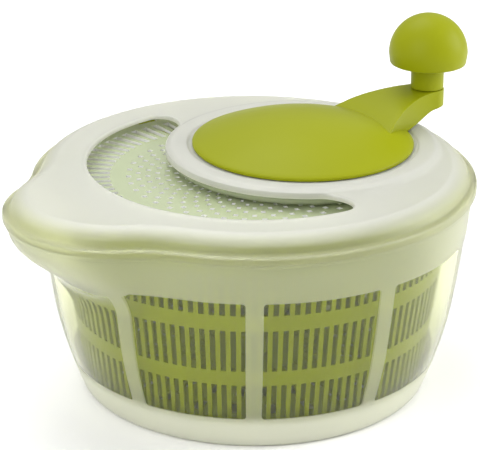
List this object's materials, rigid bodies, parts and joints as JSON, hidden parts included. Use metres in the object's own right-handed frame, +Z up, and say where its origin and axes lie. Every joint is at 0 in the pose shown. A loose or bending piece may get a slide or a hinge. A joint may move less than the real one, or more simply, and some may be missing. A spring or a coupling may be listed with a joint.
{
  "type": "salad spinner",
  "caption": "Hand-cranked salad spinner: a frosted bowl with a pouring spout, a slotted basket and a lid whose eccentric crank disc spins the basket through gears.",
  "frame": {"origin": "centre of the bowl's base, on the surface it stands on", "axes": "+Z up along the bowl's axis; -X towards the pouring spout, so +X runs from the bowl's axis to the crank's axis"},
  "size_m": [0.314, 0.265, 0.2082],
  "materials": {
    "frosted_plastic": "frosted translucent polypropylene with a moulded satin face",
    "lime_basket": "moulded lime polypropylene, lightly glossy",
    "lime_plastic": "moulded lime ABS with a soft satin face",
    "tinted_clear": "glossy translucent light green plastic",
    "acetal": "natural white acetal, machined-smooth teeth",
    "sintered_bronze": "oil-filled sintered bronze",
    "steel": "bright zinc-plated or stainless steel"
  },
  "bodies": {
    "bowl": {"bowl": "frosted_plastic"},
    "lid": {"lid": "frosted_plastic", "gear_housing": "tinted_clear", "housing_screws": "steel", "pinion_bush": "sintered_bronze"},
    "crank": {"crank_disc": "lime_plastic", "ring_gear": "acetal", "ring_screws": "steel", "crank_washer": "steel", "crank_screw": "steel", "knob_pin": "steel", "knob_clip": "steel"},
    "knob": {"knob_dome": "lime_plastic", "knob_sleeve": "lime_plastic"},
    "drive": {"pinion": "acetal", "pinion_shaft": "steel", "thrust_washer": "acetal", "shaft_clip": "steel", "drive_plate": "tinted_clear", "plate_washer": "steel", "plate_nut": "steel"},
    "basket": {"basket": "lime_basket"}
  },
  "joints": [
    {"name": "lid_lift", "type": "slide", "parent": "bowl", "child": "lid", "axis": [0, 0, 1], "range_m": [0, 0.3]},
    {"name": "crank_spin", "type": "hinge", "parent": "lid", "child": "crank", "pos_m": [0.0365, 0, 0.14], "axis": [0, 0, 1], "continuous": true},
    {"name": "knob_spin", "type": "hinge", "parent": "crank", "child": "knob", "pos_m": [0.12715, -0.00793, 0.18], "axis": [0, 0, 1], "continuous": true},
    {"name": "plate_spin", "type": "hinge", "parent": "lid", "child": "drive", "pos_m": [0, 0, 0.13], "axis": [0, 0, 1], "continuous": true},
    {"name": "basket_release", "type": "slide", "parent": "drive", "child": "basket", "axis": [0, 0, -1], "range_m": [0, 0.15]}
  ],
  "couplings": [
    {"joint": "plate_spin", "follows": "crank_spin", "ratio": 4},
    {"joint": "basket_release", "follows": "lid_lift", "ratio": 0.5}
  ]
}
